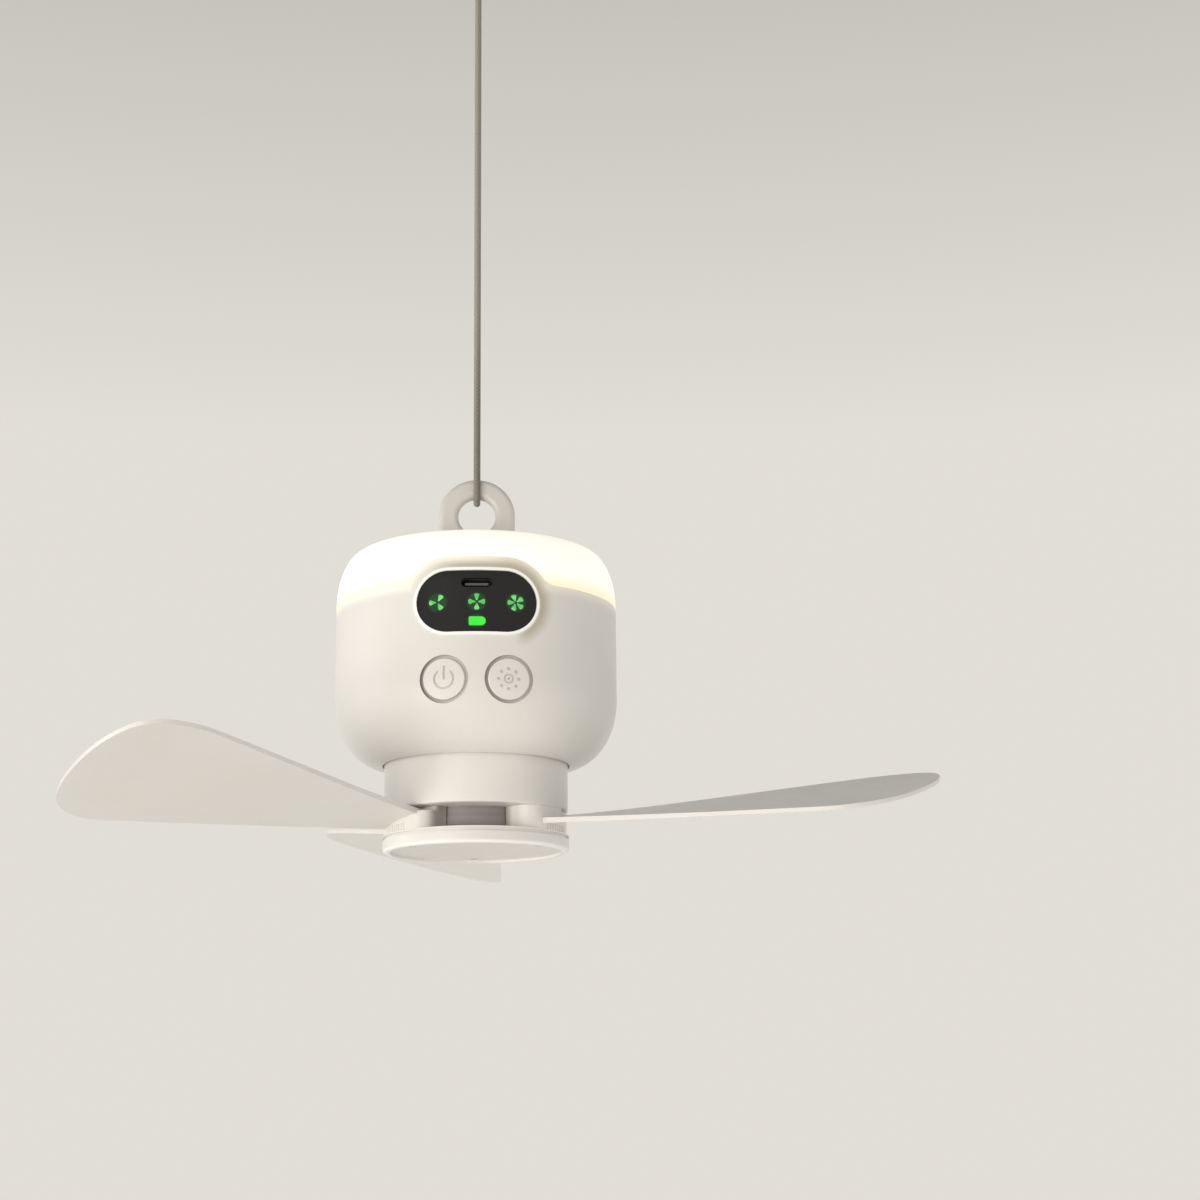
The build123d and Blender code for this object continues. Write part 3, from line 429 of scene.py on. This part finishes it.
def blade_material():
    """White leaf plastic with faint flow lines, and shade on the inner side of each root."""
    graph = Graph("blade_plastic")
    colour = moulded(graph, WHITE, WHITE_SHADE, 0.38)
    flow = graph.noise(70.0, 3.0, 0.6, stretch=(1.0, 1.0, 0.2))
    colour = graph.mix(graph.ramp(flow, 0.35, 0.75, 0.0, 0.25), colour, (0.74, 0.71, 0.65))
    x, y, _ = graph.axes()
    hollow = 0.0
    for azimuth in BLADE_AZIMUTHS:
        cosine, sine = math.cos(math.radians(azimuth)), math.sin(math.radians(azimuth))
        outwards = graph.add(graph.times(x, cosine), graph.times(y, sine))
        sideways = graph.minus(graph.times(y, cosine), graph.times(x, sine))
        root = graph.times(graph.within(outwards, ROOT_REACH, 4 * MM),
                           graph.beyond(outwards, 0.0, 1 * MM),
                           graph.beyond(sideways, ROOT_SIDE, 1 * MM))
        hollow = graph.larger(hollow, root)
    graph.set(Base_Color=graph.mix(hollow, colour, (0.34, 0.325, 0.29)))
    return graph.material


def core_material():
    """Grey plastic with rings round it."""
    graph = Graph("core_plastic")
    colour = moulded(graph, (0.30, 0.295, 0.285), (0.25, 0.245, 0.235), 0.5)
    rings = graph.noise(60.0, 2.0, stretch=(0.2, 0.2, 12.0))
    rings = graph.ramp(rings, 0.4, 0.6, 0.0, 0.35)
    graph.set(Base_Color=graph.mix(rings, colour, (0.20, 0.195, 0.19)))
    return graph.material


# ---------------------------------------------------------------- display
def display_material():
    """Polished black window with a painted dark green glow round each lit symbol."""
    graph = Graph("display_black")
    x, height = graph.axes()[0], graph.height()
    # painted glow round each lit symbol
    halo_glow = 0.0
    for place, level, squash in (
        (-ICON_SPACING, ICON_LEVEL, 1.0),
        (0.0, ICON_LEVEL, 1.0),
        (ICON_SPACING, ICON_LEVEL, 1.0),
        (0.0, BATTERY_LEVEL, 1.4),
    ):
        up = graph.times(graph.minus(height, level), squash)
        reach = graph.distance(graph.minus(x, place), up)
        halo_glow = graph.add(halo_glow, graph.within(reach, 2.1 * MM, 1.1 * MM))
    smears = graph.noise(60.0, 4.0, 0.6)
    graph.set(Base_Color=graph.mix(smears, (0.006, 0.006, 0.007), (0.012, 0.011, 0.013)),
              Roughness=graph.ramp(smears, 0.3, 0.7, 0.22, 0.32), Specular_IOR_Level=0.36,
              Emission_Color=(0.005, 0.28, 0.02), Emission_Strength=graph.times(halo_glow, 0.17))
    return graph.material


def icon_material():
    """Lit green symbols with paler spots."""
    graph = Graph("icon_green")
    spots = graph.ramp(graph.noise(700.0, 2.0), 0.4, 0.65)
    graph.set(Base_Color=(0.05, 0.30, 0.06), Roughness=0.3,
              Emission_Color=graph.mix(spots, (0.05, 0.30, 0.075), (0.20, 0.54, 0.20)),
              Emission_Strength=graph.ramp(graph.noise(1500.0), 0.2, 0.8, 0.85, 1.0))
    return graph.material


def battery_material():
    """Lit battery sign of a fuller green."""
    graph = Graph("battery_green")
    spots = graph.noise(500.0, 2.0)
    graph.set(Base_Color=(0.02, 0.30, 0.02), Roughness=0.3,
              Emission_Color=graph.mix(spots, (0.022, 0.58, 0.025), (0.045, 0.70, 0.045)),
              Emission_Strength=graph.ramp(graph.noise(1500.0), 0.2, 0.8, 0.9, 1.0))
    return graph.material


# ---------------------------------------------------------------- cord, metals, boards
# colour of the painted shade on the cord
CORD_PAINTED_SHADE = (0.10, 0.095, 0.08)
CORD_OFFSET = 3.0 * MM              # of each run from the middle, about which the threads wind
BRAID_PITCH = 5.0 * MM
BRAID_THREADS = 4.0                 # each way


def cord_material():
    """Braided cord: two sets of threads that wind round it opposite ways, with fuzz between them.

    It has painted shade near the ring and on its right side, and painted light higher up.
    """
    graph = Graph("braided_cord")
    x, y, z = graph.axes()
    height = graph.height()
    centre = graph.times(graph.math("SIGN", y), CORD_OFFSET)
    around = graph.math("DIVIDE", graph.math("ARCTAN2", graph.minus(y, centre), x), 2 * math.pi)
    rise = graph.times(graph.math("DIVIDE", z, BRAID_PITCH), BRAID_THREADS)
    threads = [graph.math("PINGPONG", graph.add(graph.times(around, way * BRAID_THREADS), rise), 0.5)
               for way in (1.0, -1.0)]
    weave = graph.times(graph.larger(*threads), 2.0)
    fuzz = graph.noise(3000.0, 3.0, 0.7)
    colour = graph.mix(graph.ramp(weave, 0.2, 1.0), (0.25, 0.237, 0.206), (0.33, 0.315, 0.275))
    # fuzz, then painted shade near the ring and on the right side, then painted light higher up
    for share, other in (
        (graph.ramp(fuzz, 0.4, 0.8, 0.0, 0.4), (0.40, 0.38, 0.335)),
        (graph.ramp(height, 95 * MM, 140 * MM, 0.30, 0.0), CORD_PAINTED_SHADE),
        (graph.ramp(x, -0.4 * MM, 0.4 * MM, 0.0, 0.50), CORD_PAINTED_SHADE),
        (graph.ramp(height, 110 * MM, 150 * MM, 0.0, 0.22), (0.45, 0.43, 0.38)),
    ):
        colour = graph.mix(share, colour, other)
    graph.set(Base_Color=colour, Roughness=0.85, Sheen_Weight=0.25, Sheen_Roughness=0.5,
              Normal=graph.bump(fuzz, 0.06 * MM, before=graph.bump(weave, 0.12 * MM)))
    return graph.material


def metal_material(name, colour, roughness=0.32):
    """Turned metal with fine scratches and patches of duller finish."""
    graph = Graph(name)
    scratches = graph.noise(900.0, 4.0, 0.7, stretch=(1.0, 1.0, 6.0))
    patches = graph.noise(90.0, 3.0)
    finish = graph.add(scratches, patches)
    graph.set(Base_Color=graph.mix(patches, tuple(0.85 * c for c in colour), colour), Metallic=1.0,
              Roughness=graph.ramp(finish, 0.7, 1.3, roughness - 0.08, roughness + 0.12),
              Normal=graph.bump(scratches, 0.01 * MM))
    return graph.material


def board_material():
    """Green solder mask over a maze of tracks."""
    graph = Graph("board_green")
    tracks = graph.texture("Brick", graph.place, Scale=260.0, Mortar_Size=0.03).outputs["Fac"]
    graph.set(Base_Color=graph.mix(tracks, (0.016, 0.11, 0.045), (0.03, 0.20, 0.085)),
              Roughness=graph.ramp(graph.noise(200.0, 3.0), 0.3, 0.7, 0.25, 0.42),
              Normal=graph.bump(tracks, 0.03 * MM))
    return graph.material


def winding_material():
    """Copper wire, wound turn by turn."""
    graph = Graph("copper_winding")
    node = graph.texture("Wave", graph.place, Scale=900.0)
    node.bands_direction = "Z"
    wires = node.outputs["Fac"]
    graph.set(Base_Color=graph.mix(wires, (0.32, 0.10, 0.03), (0.62, 0.26, 0.09)), Metallic=1.0,
              Roughness=graph.ramp(graph.noise(300.0), 0.3, 0.7, 0.3, 0.45),
              Normal=graph.bump(wires, 0.1 * MM))
    return graph.material


def led_material():
    """Yellow resin, lit from inside."""
    graph = Graph("led_resin")
    graph.set(Base_Color=graph.mix(graph.noise(800.0), (0.85, 0.70, 0.25), (0.90, 0.82, 0.45)),
              Roughness=0.3, Emission_Color=(1.0, 0.9, 0.6),
              Emission_Strength=graph.ramp(graph.noise(500.0), 0.3, 0.7, 1.5, 2.0))
    return graph.material


paint(housing_material(), "lower_housing")
paint(plain_material("neck_plastic", WHITE, WHITE_SHADE, 0.40), "rotor_hub")
paint(cap_material(), "bottom_cap")
paint(button_material(), "power_button", "light_button")
paint(lamp_material(), "lamp_diffuser")
paint(ring_material(), "hang_ring")
paint(blade_material(), "blade_1", "blade_2", "blade_3")
paint(core_material(), "hub_core")
paint(display_material(), "display_window")
paint(plain_material("fitting_plastic", (0.060, 0.058, 0.054), (0.045, 0.043, 0.040), 0.45),
      "cord_fitting")
paint(plain_material("dark_plastic", (0.05, 0.05, 0.052), (0.035, 0.035, 0.037)),
      "light_baffle", "power_switch", "light_switch", "power_plunger", "light_plunger",
      "board_parts", "magnet_ring")
paint(plain_material("grey_plastic", (0.62, 0.61, 0.58), (0.56, 0.55, 0.52)),
      "lamp_frame", "battery_tray")
paint(plain_material("cell_wrap", (0.06, 0.20, 0.42), (0.05, 0.16, 0.35), 0.3),
      "battery_cell_1", "battery_cell_2")
paint(metal_material("steel", (0.62, 0.62, 0.61)),
      "frame_screws", "ring_screw", "mount_screws", "cap_screws", "upper_bearing", "lower_bearing",
      "stator_core", "rotor_yoke", "motor_shaft", "shaft_clip")
paint(metal_material("port_metal", (0.20, 0.195, 0.205), 0.5), "usb_port")
paint(metal_material("contact_metal", (0.72, 0.66, 0.50)), "cell_contacts")
paint(metal_material("mount_brass", (0.70, 0.52, 0.22)), "motor_mount")
paint(board_material(), "led_board", "control_board", "main_board", "driver_board")
paint(winding_material(), "stator_coils")
paint(led_material(), "lamp_leds", "display_leds")
cord.data.materials.append(cord_material())

# ---------------------------------------------------------------- lit symbols on the display
ICON_SKIN = BODY_RADIUS - 0.1 * MM      # outside of the display window
ICON_THICKNESS = 0.04 * MM
# one side of a petal, as outwards and sideways from the symbol's middle in millimetres
PETAL_SIDE = [(0.40, 0.13), (1.95, 0.78), (2.20, 0.66), (2.36, 0.36), (2.41, 0.0)]
ICONS = [                               # name, place, number of petals
    ("icon_low", -ICON_SPACING, 3),
    ("icon_middle", 0.0, 4),
    ("icon_high", ICON_SPACING, 5),
]
BATTERY_LEFT = -2.25 * MM
BATTERY_RIGHT = 2.6 * MM
BATTERY_HALF_HEIGHT = 1.3 * MM
BATTERY_CORNER = 0.25 * MM
BATTERY_ARC_STEPS = 12


def wrapped(name, outlines, material):
    """Thin piece on the display's curved face, from flat outlines of (x, height) in metres."""
    vertices, faces = [], []
    for outline in outlines:
        start, count = len(vertices), len(outline)
        for lift in (-ICON_THICKNESS / 2, ICON_THICKNESS):
            radius = ICON_SKIN + lift
            for x, height in outline:
                vertices.append((x, -math.sqrt(radius ** 2 - x ** 2), height - HANG_DROP))
        faces.append([start + i for i in reversed(range(count))])
        faces.append([start + count + i for i in range(count)])
        for i in range(count):
            following = (i + 1) % count
            faces.append([start + i, start + following, start + count + following, start + count + i])
    mesh = bpy.data.meshes.new(name)
    mesh.from_pydata(vertices, [], faces)
    mesh.validate()
    mesh.update()
    mesh.materials.append(material)
    piece = bpy.data.objects.new(name, mesh)
    scene.collection.objects.link(piece)
    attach(piece, "housing")


def petal_outline(centre, angle):
    """Outline of one fan petal: a wedge with a round end."""
    outline = [(u * MM, -v * MM) for u, v in PETAL_SIDE]
    outline += [(u * MM, v * MM) for u, v in reversed(PETAL_SIDE[:-1])]
    cosine, sine = math.cos(math.radians(angle)), math.sin(math.radians(angle))
    return [(centre[0] + u * cosine - v * sine, centre[1] + u * sine + v * cosine) for u, v in outline]


def battery_outline():
    """Battery sign: square left end with cut corners, round right end."""
    low, high = BATTERY_LEVEL - BATTERY_HALF_HEIGHT, BATTERY_LEVEL + BATTERY_HALF_HEIGHT
    outline = [(BATTERY_LEFT + BATTERY_CORNER, low)]
    for step in range(BATTERY_ARC_STEPS + 1):
        angle = step * math.pi / BATTERY_ARC_STEPS
        outline.append((BATTERY_RIGHT + BATTERY_HALF_HEIGHT * (math.sin(angle) - 1),
                        BATTERY_LEVEL - BATTERY_HALF_HEIGHT * math.cos(angle)))
    outline += [(BATTERY_LEFT + BATTERY_CORNER, high), (BATTERY_LEFT, high - BATTERY_CORNER),
                (BATTERY_LEFT, low + BATTERY_CORNER)]
    return outline


icon_green = icon_material()
for name, place, count in ICONS:
    petals = [petal_outline((place, ICON_LEVEL), 180 + turn * 360 / count) for turn in range(count)]
    wrapped(name, petals, icon_green)
wrapped("icon_battery", [battery_outline()], battery_material())

# ---------------------------------------------------------------- floor, light and background
FLOOR_HALF = 6.0
FLOOR_LEVEL = -1.35
FAN_MIDDLE = Vector((0.0, 0.0, -0.25))      # where the lights point
LIGHTS = [      # name, place, side length, power in watts, colour
    ("key", (-0.78, -1.42, -0.50), 0.6, 5.8, (1.0, 0.90, 0.81)),
    ("low_key", (-1.25, -1.05, -0.70), 0.6, 7.0, (1.0, 0.98, 0.935)),
    ("fill", (1.4, -0.05, -0.75), 1.0, 2.6, (0.97, 0.96, 1.0)),
    ("side", (-1.5, 0.05, -0.35), 0.8, 3.3, (1.0, 0.99, 0.93)),
    ("top", (0.0, 0.0, 1.4), 1.8, 1.2, (1.0, 0.98, 0.93)),
]
WORLD_LOW = (0.755, 0.73, 0.67, 1.0)        # colour up to a rise of 0.30
WORLD_HIGH = (0.27, 0.27, 0.26, 1.0)        # and from 0.75, where 1 is straight up


def make_floor():
    """Plain pale floor that glows softly, far enough down to look at the fan from below."""
    corners = [(x * FLOOR_HALF, y * FLOOR_HALF, FLOOR_LEVEL) for x, y in ((-1, -1), (1, -1), (1, 1), (-1, 1))]
    mesh = bpy.data.meshes.new("floor")
    mesh.from_pydata(corners, [], [(0, 1, 2, 3)])
    graph = Graph("floor_pale")
    tint = graph.mix(graph.noise(3.0, 4.0), (0.72, 0.70, 0.65), (0.76, 0.745, 0.70))
    graph.set(Base_Color=tint, Roughness=0.8, Emission_Color=tint, Emission_Strength=0.36)
    mesh.materials.append(graph.material)
    floor = bpy.data.objects.new("floor", mesh)
    scene.collection.objects.link(floor)


def make_light(name, place, size, power, colour):
    """Soft square light that faces the fan."""
    data = bpy.data.lights.new(name, "AREA")
    data.size = size
    data.energy = power
    data.color = colour
    lamp = bpy.data.objects.new(name, data)
    lamp.location = place
    lamp.rotation_mode = "QUATERNION"
    lamp.rotation_quaternion = (FAN_MIDDLE - Vector(place)).to_track_quat("-Z", "Y")
    lamp.visible_camera = False
    scene.collection.objects.link(lamp)


def make_world():
    """Pale surroundings, darker overhead."""
    world = bpy.data.worlds.new("surroundings")
    scene.world = world
    world.use_nodes = True
    tree = world.node_tree
    tree.nodes.clear()
    place = tree.nodes.new("ShaderNodeTexCoord")
    split = tree.nodes.new("ShaderNodeSeparateXYZ")
    blend = tree.nodes.new("ShaderNodeMapRange")
    blend.inputs["From Min"].default_value = 0.30
    blend.inputs["From Max"].default_value = 0.75
    mix = tree.nodes.new("ShaderNodeMix")
    mix.data_type = "RGBA"
    for socket, colour in zip(colour_sockets(mix.inputs), (WORLD_LOW, WORLD_HIGH)):
        socket.default_value = colour
    background = tree.nodes.new("ShaderNodeBackground")
    output = tree.nodes.new("ShaderNodeOutputWorld")
    tree.links.new(place.outputs["Generated"], split.inputs[0])
    tree.links.new(split.outputs[2], blend.inputs["Value"])
    tree.links.new(blend.outputs["Result"], mix.inputs["Factor"])
    tree.links.new(colour_sockets(mix.outputs)[0], background.inputs["Color"])
    tree.links.new(background.outputs[0], output.inputs["Surface"])


make_floor()
make_world()
for light in LIGHTS:
    make_light(*light)
